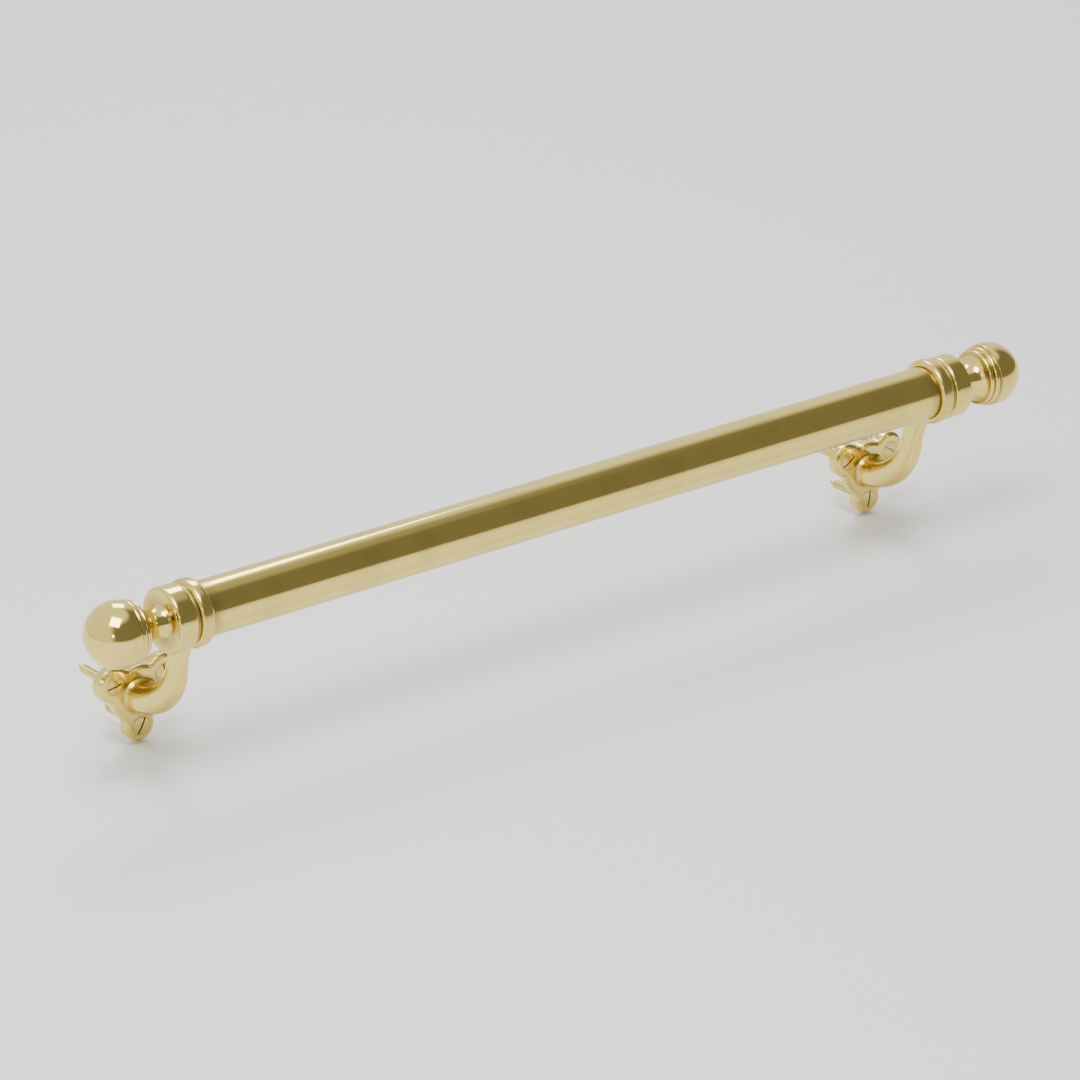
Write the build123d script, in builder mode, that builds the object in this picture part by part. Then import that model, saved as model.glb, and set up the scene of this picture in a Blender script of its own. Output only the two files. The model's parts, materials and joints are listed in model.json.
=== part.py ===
"""Sash lift handle: a turned brass bar, carried off a sash rail by two cast brackets on trefoil plates.

Millimetres. X runs along the bar, Y runs into the sash and Z is up. The origin is on the face of the
sash rail, midway between the two plates and level with the centres of their screw circles.
"""

import os
from math import cos, radians, sin

from build123d import *

os.makedirs("parts", exist_ok=True)

# Driving sizes of the whole handle
bracket_spacing = 366.0
overall_length = 457.0
bar_projection = 40.0
bar_rise = 46.0

# Bar tube, and the plug soldered into each end of it
tube_radius = 11.0
tube_bore_radius = 9.5
plug_length = 15.0

# Trefoil plate: three lobes on the screw circle, joined by a round centre
plate_thickness = 5.0
plate_bevel = 1.4
plate_centre_radius = 11.8
screw_circle_radius = 13.0
side_lobe_radius = 7.2
lower_lobe_radius = 6.5
lobe_blend_radius = 2.5

# Bracket arm: a foot on the plate, a quarter bend and an eye round the bar
arm_bend_radius = 26.0
foot_width, foot_height = 15.0, 14.0
bend_width, bend_height = 9.0, 11.5
neck_width, neck_height = 5.6, 10.0
bend_section_at = 0.45
neck_lean = 2.0
neck_overlap = 6.0
eye_width = 6.0
eye_radius = 13.4
running_clearance = 0.05

# Screw that holds the arm to the plate, from behind
arm_screw_radius = 2.5
arm_screw_head_radius = 4.6
arm_screw_depth = 14.0
arm_screw_recess = 0.15
arm_screw_clearance = 0.25
arm_screw_end_gap = 0.5

# Wood screws: countersunk and slotted, with a shank that tapers through the plate
wood_screw_head_radius = 3.5
wood_screw_shank_radius = 1.7
wood_screw_shank_end_radius = 1.5
wood_screw_thread_radius = 1.75
wood_screw_length = 20.0
wood_screw_point = 3.5
wood_screw_dome = 0.4
wood_screw_hole_radius = 2.0
countersink_clearance = 0.1
slot_width = 0.8
slot_depth = 1.1
slot_length_factor = 2.2

# Finial, the washer behind it, and the stud and grub screw that hold it
end_play = 0.2
washer_thickness = 1.2
washer_radius = 12.2
finial_base_length = 8.6
finial_base_radius = 13.0
finial_edge_radius = 0.9
finial_neck_radius = 5.7
finial_shoulder_radius = 7.6
finial_cove_length = 4.2
finial_ball_radius = 13.0
dome_angle = 102.0
stud_radius = 3.0
stud_length = 31.0
stud_clearance = 0.2
grub_radius = 2.0
grub_length = 8.0
grub_key_radius = 1.1
grub_key_depth = 2.0
stud_end_gap = 0.5
stud_chamfer = 0.5
plug_thread_depth = 13.0

# Points of the finial between its neck and its ball: distance inboard of the ball's centre, and radius
flare_end = (8.4, 10.0)
first_bead_crown = (7.3, 11.4)
first_bead_end = (6.0, 11.2)
second_bead_crown = (4.8, 12.5)
second_bead_end = (3.4, 12.2)

# Places worked out from the driving sizes
plate_x = bracket_spacing / 2
eye_face = plate_x + eye_width / 2
tube_end = eye_face + end_play
finial_seat = tube_end + washer_thickness
finial_base_end = finial_seat + finial_base_length
ball_centre = overall_length / 2 - finial_ball_radius
stud_start = tube_end - plug_thread_depth
stud_end = stud_start + stud_length
grub_x = finial_seat + finial_base_length / 2
bar_axis = Axis((0, -bar_projection, bar_rise), (1, 0, 0))

# Lobes of the plate: name, angle round the screw circle from +X, and radius
lobes = (
    ("outer", 30, side_lobe_radius),
    ("inner", 150, side_lobe_radius),
    ("lower", 270, lower_lobe_radius),
)


def lobe_centre(angle):
    """Centre of a lobe and of its screw, across and up from the middle of the plate."""
    return (screw_circle_radius * cos(radians(angle)), screw_circle_radius * sin(radians(angle)))


def beside_ball(point):
    """Place on the finial's profile of a point given by its distance inboard of the ball's centre."""
    return (ball_centre - point[0], point[1])


# Bar tube, open at both ends
with BuildPart() as bar_tube:
    with BuildSketch(Plane.YZ.offset(-tube_end)):
        with Locations((-bar_projection, bar_rise)):
            Circle(tube_radius)
            Circle(tube_bore_radius, mode=Mode.SUBTRACT)
    extrude(amount=2 * tube_end)
bar_tube.part.label = "bar_tube"
export_step(bar_tube.part, "parts/bar_tube.step")

for side, sign in (("left", -1), ("right", 1)):
    # Local x of these planes points away from the middle of the handle
    plate_back = Plane((sign * plate_x, 0, 0), x_dir=(sign, 0, 0), z_dir=(0, -sign, 0))
    turning = Plane((0, -bar_projection, bar_rise), x_dir=(sign, 0, 0), z_dir=(0, -sign, 0))

    # Trefoil plate, bevelled in front, with three countersunk holes and one hole sunk from behind
    with BuildPart() as backplate:
        with BuildSketch(plate_back) as outline:
            Circle(plate_centre_radius)
            for lobe, angle, radius in lobes:
                with Locations(lobe_centre(angle)):
                    Circle(radius)
            fillet(outline.vertices(), lobe_blend_radius)
        extrude(amount=sign * plate_thickness)
        front_edges = backplate.faces().sort_by(Axis.Y)[0].edges()
        chamfer(front_edges, plate_bevel)
        for lobe, angle, radius in lobes:
            across, up = lobe_centre(angle)
            with Locations(Plane((sign * (plate_x + across), -plate_thickness, up), z_dir=(0, -1, 0))):
                CounterSinkHole(
                    wood_screw_hole_radius,
                    wood_screw_head_radius + countersink_clearance,
                    counter_sink_angle=90,
                )
        with Locations(Plane((sign * plate_x, 0, 0), z_dir=(0, 1, 0))):
            CounterSinkHole(
                arm_screw_radius + arm_screw_clearance,
                arm_screw_head_radius + arm_screw_clearance,
                counter_sink_angle=90,
            )
    backplate.part.label = f"{side}_backplate"
    export_step(backplate.part, f"parts/{side}_backplate.step")

    # Wood screws through the plate, each driven straight into the sash
    for lobe, angle, radius in lobes:
        across, up = lobe_centre(angle)
        screw_x = sign * (plate_x + across)
        screw_plane = Plane((screw_x, 0, up), x_dir=(0, 1, 0), z_dir=(1, 0, 0))
        with BuildPart() as plate_screw:
            with BuildSketch(screw_plane):
                with BuildLine():
                    crown = -plate_thickness - wood_screw_dome
                    under_head = -plate_thickness + wood_screw_head_radius - wood_screw_shank_radius
                    ThreePointArc(
                        (crown, 0),
                        (crown + wood_screw_dome / 4, wood_screw_head_radius / 2),
                        (-plate_thickness, wood_screw_head_radius),
                    )
                    Polyline(
                        (-plate_thickness, wood_screw_head_radius),
                        (under_head, wood_screw_shank_radius),
                        (0, wood_screw_shank_end_radius),
                        (0, wood_screw_thread_radius),
                        (wood_screw_length - wood_screw_point, wood_screw_thread_radius),
                        (wood_screw_length, 0),
                        (crown, 0),
                    )
                make_face()
            revolve(axis=Axis((screw_x, 0, up), (0, 1, 0)))
            with BuildSketch(Plane((screw_x, crown, up), z_dir=(0, 1, 0))):
                Rectangle(slot_length_factor * wood_screw_head_radius, slot_width)
            extrude(amount=slot_depth, mode=Mode.SUBTRACT)
        plate_screw.part.label = f"{side}_{lobe}_plate_screw"
        export_step(plate_screw.part, f"parts/{side}_{lobe}_plate_screw.step")

    # Bracket arm: elliptical sections swept along a quarter bend, then the eye, then its bore
    side_plane = Plane((sign * plate_x, 0, 0), x_dir=(0, 1, 0), z_dir=(1, 0, 0))
    bend_end = (-plate_thickness - arm_bend_radius, arm_bend_radius)
    with BuildPart() as bracket_arm:
        with BuildLine(side_plane) as arm_path:
            bend = CenterArc((-plate_thickness, arm_bend_radius), arm_bend_radius, 270, -90)
            Line(bend_end, (bend_end[0] - neck_lean, bar_rise - eye_radius + neck_overlap))
        with BuildSketch(Plane(arm_path.line @ 0, x_dir=(1, 0, 0), z_dir=arm_path.line % 0)) as foot:
            Ellipse(foot_width / 2, foot_height / 2)
        middle_plane = Plane(bend @ bend_section_at, x_dir=(1, 0, 0), z_dir=bend % bend_section_at)
        with BuildSketch(middle_plane) as middle:
            Ellipse(bend_width / 2, bend_height / 2)
        with BuildSketch(Plane(arm_path.line @ 1, x_dir=(1, 0, 0), z_dir=arm_path.line % 1)) as top:
            Ellipse(neck_width / 2, neck_height / 2)
        sweep(sections=[foot.sketch, middle.sketch, top.sketch], path=arm_path.line, multisection=True)
        with BuildSketch(Plane.YZ.offset(sign * plate_x - eye_width / 2)):
            with Locations((-bar_projection, bar_rise)):
                Circle(eye_radius)
        extrude(amount=eye_width)
        with BuildSketch(Plane.YZ.offset(sign * plate_x)):
            with Locations((-bar_projection, bar_rise)):
                Circle(tube_radius + running_clearance)
        extrude(amount=foot_width, both=True, mode=Mode.SUBTRACT)
        with BuildSketch(Plane((sign * plate_x, -plate_thickness, 0), z_dir=(0, -1, 0))):
            Circle(arm_screw_radius)
        extrude(amount=arm_screw_depth - plate_thickness, mode=Mode.SUBTRACT)
    bracket_arm.part.label = f"{side}_bracket_arm"
    export_step(bracket_arm.part, f"parts/{side}_bracket_arm.step")

    # Countersunk machine screw that pulls the arm against the plate
    with BuildPart() as arm_screw:
        with BuildSketch(Plane((sign * plate_x, 0, 0), x_dir=(0, -1, 0), z_dir=(-1, 0, 0))):
            with BuildLine():
                head_end = arm_screw_recess + arm_screw_head_radius - arm_screw_radius
                arm_screw_end = arm_screw_depth - arm_screw_end_gap
                Polyline(
                    (arm_screw_recess, 0),
                    (arm_screw_recess, arm_screw_head_radius),
                    (head_end, arm_screw_radius),
                    (arm_screw_end, arm_screw_radius),
                    (arm_screw_end, 0),
                    (arm_screw_recess, 0),
                )
            make_face()
        revolve(axis=Axis((sign * plate_x, 0, 0), (0, 1, 0)))
        with BuildSketch(Plane((sign * plate_x, -arm_screw_recess, 0), z_dir=(0, -1, 0))):
            Rectangle(slot_length_factor * arm_screw_head_radius, slot_width)
        extrude(amount=slot_depth, mode=Mode.SUBTRACT)
    arm_screw.part.label = f"{side}_arm_screw"
    export_step(arm_screw.part, f"parts/{side}_arm_screw.step")

    # Plug soldered into the tube, tapped for the stud
    with BuildPart() as end_plug:
        with BuildSketch(turning):
            with Locations((tube_end - plug_length / 2, (tube_bore_radius + stud_radius) / 2)):
                Rectangle(plug_length, tube_bore_radius - stud_radius)
        revolve(axis=bar_axis)
    end_plug.part.label = f"{side}_end_plug"
    export_step(end_plug.part, f"parts/{side}_end_plug.step")

    # Washer that keeps the finial off the face of the eye
    with BuildPart() as washer:
        with BuildSketch(turning):
            hole = stud_radius + stud_clearance
            with Locations((tube_end + washer_thickness / 2, (washer_radius + hole) / 2)):
                Rectangle(washer_thickness, washer_radius - hole)
        revolve(axis=bar_axis)
    washer.part.label = f"{side}_washer"
    export_step(washer.part, f"parts/{side}_washer.step")

    # Stud, screwed into the plug and into the finial
    with BuildPart() as finial_stud:
        with BuildSketch(turning):
            with Locations(((stud_start + stud_end) / 2, stud_radius / 2)):
                Rectangle(stud_length, stud_radius)
        revolve(axis=bar_axis)
        chamfer(finial_stud.edges().filter_by(GeomType.CIRCLE), stud_chamfer)
    finial_stud.part.label = f"{side}_finial_stud"
    export_step(finial_stud.part, f"parts/{side}_finial_stud.step")

    # Finial: base ring, cove, flare, two beads and a ball, turned in one piece
    with BuildPart() as finial:
        with BuildSketch(turning):
            with BuildLine():
                dome = CenterArc((ball_centre, 0), finial_ball_radius, 0, dome_angle)
                Polyline(
                    (finial_base_end, finial_shoulder_radius),
                    (finial_base_end, finial_base_radius - finial_edge_radius),
                    (finial_base_end - finial_edge_radius, finial_base_radius),
                    (finial_seat + finial_edge_radius, finial_base_radius),
                    (finial_seat, finial_base_radius - finial_edge_radius),
                    (finial_seat, 0),
                    (overall_length / 2, 0),
                )
                ThreePointArc(
                    (finial_base_end, finial_shoulder_radius),
                    (finial_base_end + finial_cove_length, finial_neck_radius),
                    beside_ball(flare_end),
                )
                for start, crown, end in (
                    (flare_end, first_bead_crown, first_bead_end),
                    (first_bead_end, second_bead_crown, second_bead_end),
                ):
                    ThreePointArc(beside_ball(start), beside_ball(crown), beside_ball(end))
                Line(beside_ball(second_bead_end), dome @ 1)
            make_face()
        revolve(axis=bar_axis)
        with BuildSketch(turning):
            with Locations(((finial_seat + stud_end + stud_end_gap) / 2, stud_radius / 2)):
                Rectangle(stud_end + stud_end_gap - finial_seat, stud_radius)
        revolve(axis=bar_axis, mode=Mode.SUBTRACT)
        with BuildSketch(Plane((sign * grub_x, -bar_projection, bar_rise), z_dir=(0, 0, -1))):
            Circle(grub_radius)
        extrude(amount=finial_ball_radius + finial_edge_radius, mode=Mode.SUBTRACT)
    finial.part.label = f"{side}_finial"
    export_step(finial.part, f"parts/{side}_finial.step")

    # Grub screw in the underside of the finial's base, tight on the stud
    with BuildPart() as grub_screw:
        with BuildSketch(Plane((sign * grub_x, -bar_projection, bar_rise - stud_radius), z_dir=(0, 0, -1))):
            Circle(grub_radius)
        extrude(amount=grub_length)
        key_face = Plane(
            (sign * grub_x, -bar_projection, bar_rise - stud_radius - grub_length), z_dir=(0, 0, 1)
        )
        with BuildSketch(key_face):
            RegularPolygon(grub_key_radius, 6)
        extrude(amount=grub_key_depth, mode=Mode.SUBTRACT)
    grub_screw.part.label = f"{side}_finial_grub_screw"
    export_step(grub_screw.part, f"parts/{side}_finial_grub_screw.step")
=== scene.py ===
"""Sash lift handle: a polished brass bar with ball finials, on two cast brackets with trefoil plates.

Metres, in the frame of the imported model: X runs along the bar, Y runs into the sash and Z is up. The
visible pieces are surfaces worked out on grids, at the places and sizes that the frame gives.
"""

import json
import math

import bmesh
import bpy
import numpy as np
from bpy.props import FloatProperty, FloatVectorProperty, IntProperty, PointerProperty
from bpy.types import Operator, Panel, PropertyGroup
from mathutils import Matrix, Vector


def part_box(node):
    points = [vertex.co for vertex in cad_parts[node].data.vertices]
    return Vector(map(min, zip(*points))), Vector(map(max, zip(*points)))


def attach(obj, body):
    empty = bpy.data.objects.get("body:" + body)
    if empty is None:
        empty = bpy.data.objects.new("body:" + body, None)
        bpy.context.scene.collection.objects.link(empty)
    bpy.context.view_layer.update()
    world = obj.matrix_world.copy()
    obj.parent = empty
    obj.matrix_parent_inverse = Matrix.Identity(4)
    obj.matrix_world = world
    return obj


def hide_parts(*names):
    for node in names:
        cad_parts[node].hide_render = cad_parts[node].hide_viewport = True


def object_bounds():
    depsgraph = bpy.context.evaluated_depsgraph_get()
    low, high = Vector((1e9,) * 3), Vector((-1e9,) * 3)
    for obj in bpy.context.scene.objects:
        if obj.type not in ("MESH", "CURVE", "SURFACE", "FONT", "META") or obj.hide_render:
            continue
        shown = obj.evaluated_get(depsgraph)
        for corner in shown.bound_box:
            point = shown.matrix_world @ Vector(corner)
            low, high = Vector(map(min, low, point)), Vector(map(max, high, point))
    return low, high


bl_info = {
    "name": "Sash Lift Handle",
    "version": (1, 0, 0),
    "blender": (4, 5, 0),
    "location": "3D View > Sidebar > Sash Lift",
    "description": "Builds a brass sash lift bar with ball finials and trefoil brackets",
    "category": "Add Mesh",
}

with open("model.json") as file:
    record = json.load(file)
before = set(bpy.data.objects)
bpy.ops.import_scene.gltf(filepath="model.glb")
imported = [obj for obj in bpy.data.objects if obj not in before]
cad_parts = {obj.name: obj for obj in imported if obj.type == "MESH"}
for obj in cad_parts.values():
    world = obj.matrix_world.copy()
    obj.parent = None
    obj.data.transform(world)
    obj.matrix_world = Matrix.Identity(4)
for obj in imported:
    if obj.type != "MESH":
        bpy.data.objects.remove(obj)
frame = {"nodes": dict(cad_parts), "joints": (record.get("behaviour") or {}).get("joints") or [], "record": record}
CAD_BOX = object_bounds()

RECORD = frame["record"]
MOUNTS = {mount["name"]: mount for mount in RECORD["mounts"]}
COLOURS = {material["slot"]: material["base_color"] for material in RECORD["materials"]}
AXIS_Y, AXIS_Z = frame["joints"][0]["pos_m"][1:]

SIDES = (("left", -1), ("right", 1))
LOBES = (("outer", 30), ("inner", 150), ("lower", 270))
MM = 0.001
MERGE_DISTANCE = 1e-6
SHARP_ANGLE = math.radians(38)


# ---------------------------------------------------------------- sizes taken from the frame


def span(node, axis):
    """Lowest and highest place of a node of the frame along one axis: 0, 1 or 2."""
    low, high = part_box(node)
    return low[axis], high[axis]


TUBE_END = span("bar_tube", 0)[1]
TUBE_RADIUS = span("bar_tube", 2)[1] - AXIS_Z
PLATE_X = MOUNTS["right_plate_screw_circle"]["pos_m"][0]
SCREW_CIRCLE = MOUNTS["right_plate_screw_circle"]["dims"]["pcd_mm"] * MM / 2
THREAD_RADIUS = MOUNTS["right_plate_screw_circle"]["dims"]["stud_r_mm"] * MM
PLATE_THICKNESS = -span("right_backplate", 1)[0]
SIDE_LOBE = span("right_backplate", 0)[1] - PLATE_X - SCREW_CIRCLE * math.cos(math.radians(30))
LOWER_LOBE = -span("right_backplate", 2)[0] - SCREW_CIRCLE
EYE_RADIUS = span("right_bracket_arm", 2)[1] - AXIS_Z
FOOT_WIDTH = span("right_bracket_arm", 0)[1] - span("right_bracket_arm", 0)[0]
WASHER_START, WASHER_END = span("right_washer", 0)
WASHER_RADIUS = span("right_washer", 2)[1] - AXIS_Z
FINIAL_SEAT, FINIAL_TIP = span("right_finial", 0)
FINIAL_RADIUS = span("right_finial", 2)[1] - AXIS_Z
GRUB_X = sum(span("right_finial_grub_screw", 0)) / 2
GRUB_RADIUS = (span("right_finial_grub_screw", 0)[1] - span("right_finial_grub_screw", 0)[0]) / 2
SCREW_CROWN, SCREW_TIP = span("right_lower_plate_screw", 1)
SCREW_HEAD = (span("right_lower_plate_screw", 0)[1] - span("right_lower_plate_screw", 0)[0]) / 2


# ---------------------------------------------------------------- sizes and colours to change


def length(name, description, default):
    """A size in metres, shown with the scene's unit."""
    return FloatProperty(
        name=name, description=description, default=default, min=0.0, unit="LENGTH", precision=5
    )


def colour(name, description, default):
    """A colour, shown as a swatch."""
    return FloatVectorProperty(
        name=name, description=description, default=default, size=3, subtype="COLOR", min=0.0, max=1.0
    )


def share(name, description, default, top=1.0):
    """A number from nothing up to a top value."""
    return FloatProperty(name=name, description=description, default=default, min=0.0, max=top)


class SashLiftSizes(PropertyGroup):
    """Sizes that the frame doesn't give."""

    tube_bore: length("Tube bore radius", "Radius of the hole along the bar", 9.5 * MM)
    tube_edge: length("Tube edge", "Rounding of the tube's ends", 0.3 * MM)
    plate_centre: length("Plate centre radius", "Radius of the round middle of the trefoil", 11.8 * MM)
    plate_notch: length("Plate notch radius", "Hollow rounding between the lobes", 2.5 * MM)
    plate_bevel: length("Plate bevel", "Width and depth of the bevel round the front", 1.2 * MM)
    plate_edge: length("Plate edge", "Rounding where the bevel meets face and side", 0.5 * MM)
    screw_hole: length("Screw hole radius", "Hole through the plate for a wood screw", 2.0 * MM)
    screw_gap: length("Countersink gap", "Gap round the head of a wood screw", 0.1 * MM)
    centre_hole: length("Centre hole radius", "Hole in the plate for the arm's screw", 2.75 * MM)
    centre_sink: length("Centre countersink radius", "Countersink in the back of the plate", 4.85 * MM)
    foot_height: length("Foot height", "Height of the arm where it stands on the plate", 14 * MM)
    foot_flare: length("Foot flare", "How far the arm spreads just above the plate", 0.9 * MM)
    bend_radius: length("Bend radius", "Radius of the arm's bend, along its middle", 26 * MM)
    waist_width: length("Waist width", "Width of the arm at its bend", 9 * MM)
    waist_depth: length("Waist depth", "Depth of the arm at its bend", 11.5 * MM)
    neck_width: length("Neck width", "Width of the arm below its eye", 5.4 * MM)
    neck_depth: length("Neck depth", "Depth of the arm below its eye", 10 * MM)
    neck_flare: length("Neck flare", "How far the arm's depth spreads as it meets the eye", 2.4 * MM)
    eye_width: length("Eye width", "Width of the eye along the bar", 6 * MM)
    eye_bore: length("Eye bore radius", "Radius of the hole in the eye", 11.05 * MM)
    eye_edge: length("Eye edge", "Rounding of the eye's outer edges", 1.9 * MM)
    washer_bore: length("Washer bore radius", "Radius of the hole in the washer", 3.2 * MM)
    washer_edge: length("Washer edge", "Rounding of the washer's rim", 0.35 * MM)
    base_length: length("Finial base length", "Length of the finial's base ring", 8.6 * MM)
    base_edge: length("Finial base edge", "Rounding of the base ring's edges", 1.3 * MM)
    neck_radius: length("Finial neck radius", "Radius of the finial at its neck", 5.7 * MM)
    shoulder: length("Finial shoulder radius", "Radius where the neck leaves the base", 7.2 * MM)
    slot_width: length("Slot width", "Width of the slot in a wood screw", 0.8 * MM)
    slot_depth: length("Slot depth", "Depth of the slot in a wood screw", 1.1 * MM)
    shank_radius: length("Shank radius", "Radius of a wood screw under its head", 1.7 * MM)
    shank_end: length("Shank end radius", "Radius of a wood screw where its thread starts", 1.5 * MM)
    thread_root: length("Thread root radius", "Radius between the turns of the thread", 1.15 * MM)
    thread_pitch: length("Thread pitch", "Distance from one turn of the thread to the next", 1.4 * MM)
    point_length: length("Point length", "Length of a wood screw's point", 3.5 * MM)
    turned_steps: IntProperty(
        name="Turned steps", description="Steps round a turned piece", default=192, min=24, max=512
    )


class SashLiftFinish(PropertyGroup):
    """Colours and surface qualities of the metals."""

    brass: colour("Polished brass", "Clean, polished brass", COLOURS["polished_brass"])
    # This colour is both the tarnish and the painted shade in recesses.
    tarnish: colour("Tarnish", "Brass where it isn't rubbed", (0.34, 0.235, 0.06))
    screw: colour("Screw brass", "Turned brass of the screws and washers", COLOURS["screw_brass"])
    zinc: colour("Zinc plate", "Plated steel of the inner screws and studs", COLOURS["zinc_steel"])
    black: colour("Black steel", "Oxidised steel of the grub screws", COLOURS["black_steel"])
    polish: share("Polish roughness", "Roughness of the best polished brass", 0.075)
    patches: share("Tarnish patches", "How much thin tarnish lies over the open surfaces", 0.22)
    # Strength of the painted shade, with tarnish, in grooves, slots and joints.
    recesses: share("Tarnish in recesses", "How much tarnish is left in grooves and corners", 0.75)


class SashLiftStage(PropertyGroup):
    """The floor, the light and the camera."""

    floor: colour("Floor", "Colour of the pale floor", (0.86, 0.86, 0.865))
    sky: share("Sky strength", "Brightness of the light from all round", 1.3, 5.0)
    room: share("Room darkness", "How dark the side of the room behind the camera is", 0.85)
    lens: FloatProperty(
        name="Lens", description="Focal length of the camera", default=188.0, min=10.0, unit="CAMERA"
    )


# ---------------------------------------------------------------- curves and grids


def rounded(corners, radii, steps=8):
    """A path through corners, each turned on an arc of its own radius.

    An arc starts and ends at the radius times the tangent of half the turn from its corner, and its
    points are the corner's bisector point swung from one leg to the other.
    """
    corners = np.asarray(corners, float)
    path = [corners[:1]]
    for before, corner, after, radius in zip(corners, corners[1:], corners[2:], radii):
        arrive = (corner - before) / np.linalg.norm(corner - before)
        leave = (after - corner) / np.linalg.norm(after - corner)
        turn = math.atan2(arrive[0] * leave[1] - arrive[1] * leave[0], arrive @ leave)
        if radius <= 0 or abs(turn) < 1e-6:
            path.append(corner[None])
            continue
        side = math.copysign(radius, turn)
        start = corner - arrive * radius * math.tan(abs(turn) / 2)
        centre = start + side * np.array([-arrive[1], arrive[0]])
        angles = np.linspace(0, turn, steps + 1)[:, None]
        spoke = start - centre
        across = np.array([-spoke[1], spoke[0]])
        path.append(centre + spoke * np.cos(angles) + across * np.sin(angles))
    path.append(corners[-1:])
    return np.concatenate(path)


def arc(centre, radius, start, end, steps):
    """Points on a circle from one angle to another, in degrees."""
    angles = np.radians(np.linspace(start, end, steps + 1))
    return np.array(centre) + radius * np.stack([np.cos(angles), np.sin(angles)], axis=1)


def divided(path, step):
    """A path with points added along its long runs, so that no run is longer than a step."""
    runs = np.linalg.norm(np.diff(path, axis=0), axis=1)
    places = np.concatenate([[0.0], np.cumsum(runs)])
    counts = np.maximum(1, np.ceil(runs / step)).astype(int)
    wanted = [np.linspace(a, b, n, endpoint=False) for a, b, n in zip(places, places[1:], counts)]
    wanted = np.append(np.concatenate(wanted), places[-1])
    return np.stack([np.interp(wanted, places, path[:, i]) for i in range(path.shape[1])], axis=1)


def turned(profile, sign, steps):
    """A profile of (distance from the middle of the handle, radius) turned round the bar's axis.

    A point at angle a stands at radius times the cosine of a along Y and radius times the sine of a
    along Z from the axis.
    """
    angles = np.linspace(0, 2 * math.pi, steps + 1)
    along = np.broadcast_to(sign * profile[:, :1], (len(profile), len(angles)))
    radius = profile[:, 1:]
    return np.stack([along, AXIS_Y + radius * np.cos(angles), AXIS_Z + radius * np.sin(angles)], axis=-1)


def smoothstep(value, low, high):
    """0 below low, 1 above high, and three t squared less two t cubed between them."""
    t = np.clip((value - low) / (high - low), 0, 1)
    return t * t * (3 - 2 * t)


def hump(value, centre, width):
    """A bell curve: the exponential of minus the squared distance from the centre, in widths."""
    return np.exp(-(((value - centre) / width) ** 2))


# ---------------------------------------------------------------- meshes


def grid_faces(rows, columns, first):
    """The four corners of every cell of a grid of points, numbered from the first point."""
    number = first + np.arange(rows * columns).reshape(rows, columns)
    cells = (number[:-1, :-1], number[:-1, 1:], number[1:, 1:], number[1:, :-1])
    return np.stack(cells, axis=-1).reshape(-1, 4)


def closed_mesh(name, sheets):
    """Joins grids of points into one closed mesh that faces outwards.

    Points that fall on each other become one, so seams, poles and shared borders close. A mesh that
    is left open is an error.
    """
    counts = [sheet.shape[0] * sheet.shape[1] for sheet in sheets]
    firsts = np.concatenate([[0], np.cumsum(counts)[:-1]])
    points = np.concatenate([sheet.reshape(-1, 3) for sheet in sheets])
    faces = np.concatenate([grid_faces(*sheet.shape[:2], first) for sheet, first in zip(sheets, firsts)])
    mesh = bpy.data.meshes.new(name)
    mesh.from_pydata(points.tolist(), [], faces.tolist())
    shape = bmesh.new()
    shape.from_mesh(mesh)
    bmesh.ops.remove_doubles(shape, verts=shape.verts, dist=MERGE_DISTANCE)
    bmesh.ops.dissolve_degenerate(shape, edges=shape.edges, dist=MERGE_DISTANCE / 10)
    bmesh.ops.recalc_face_normals(shape, faces=shape.faces)
    if shape.calc_volume(signed=True) < 0:
        bmesh.ops.reverse_faces(shape, faces=shape.faces)
    loose = sum(not edge.is_manifold for edge in shape.edges)
    shape.to_mesh(mesh)
    shape.free()
    if loose:
        raise RuntimeError(f"{name} is open along {loose} edges")
    return mesh


def new_object(name, mesh):
    """An object at the origin that shows a mesh."""
    made = bpy.data.objects.new(name, mesh)
    bpy.context.scene.collection.objects.link(made)
    return made


def combined(piece, cutter_mesh, operation):
    """Cuts a mesh out of a piece, or joins it to the piece, with an exact boolean."""
    cutter = new_object("cutter", cutter_mesh)
    boolean = piece.modifiers.new("boolean", "BOOLEAN")
    boolean.operation, boolean.solver, boolean.object = operation, "EXACT", cutter
    evaluated = piece.evaluated_get(bpy.context.evaluated_depsgraph_get())
    mesh = bpy.data.meshes.new_from_object(evaluated)
    mesh.name = piece.data.name
    piece.modifiers.clear()
    piece.data = mesh
    bpy.data.objects.remove(cutter)
    if not len(mesh.polygons):
        raise RuntimeError(f"nothing is left of {piece.name}")
    return piece


def box_mesh(low, high):
    """A plain block between two corners, used only to cut with."""
    mesh = bpy.data.meshes.new("block")
    shape = bmesh.new()
    bmesh.ops.create_cube(shape, size=1.0)
    shape.to_mesh(mesh)
    shape.free()
    points = np.empty(len(mesh.vertices) * 3, np.float32)
    mesh.vertices.foreach_get("co", points)
    low, high = np.array(low), np.array(high)
    placed = (low + high) / 2 + points.reshape(-1, 3) * (high - low)
    mesh.vertices.foreach_set("co", placed.ravel())
    return mesh


def mark_recess(mesh, formula):
    """Stores how sheltered each point is, from 0 in the open to 1 in a groove, worked out from its place; the
    materials darken these places as painted shade, with tarnish.
    """
    points = np.empty(len(mesh.vertices) * 3, np.float32)
    mesh.vertices.foreach_get("co", points)
    values = np.clip(formula(*points.reshape(-1, 3).T), 0, 1)
    attribute = mesh.attributes.get("recess") or mesh.attributes.new("recess", "FLOAT", "POINT")
    attribute.data.foreach_set("value", values.astype(np.float32))


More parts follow.
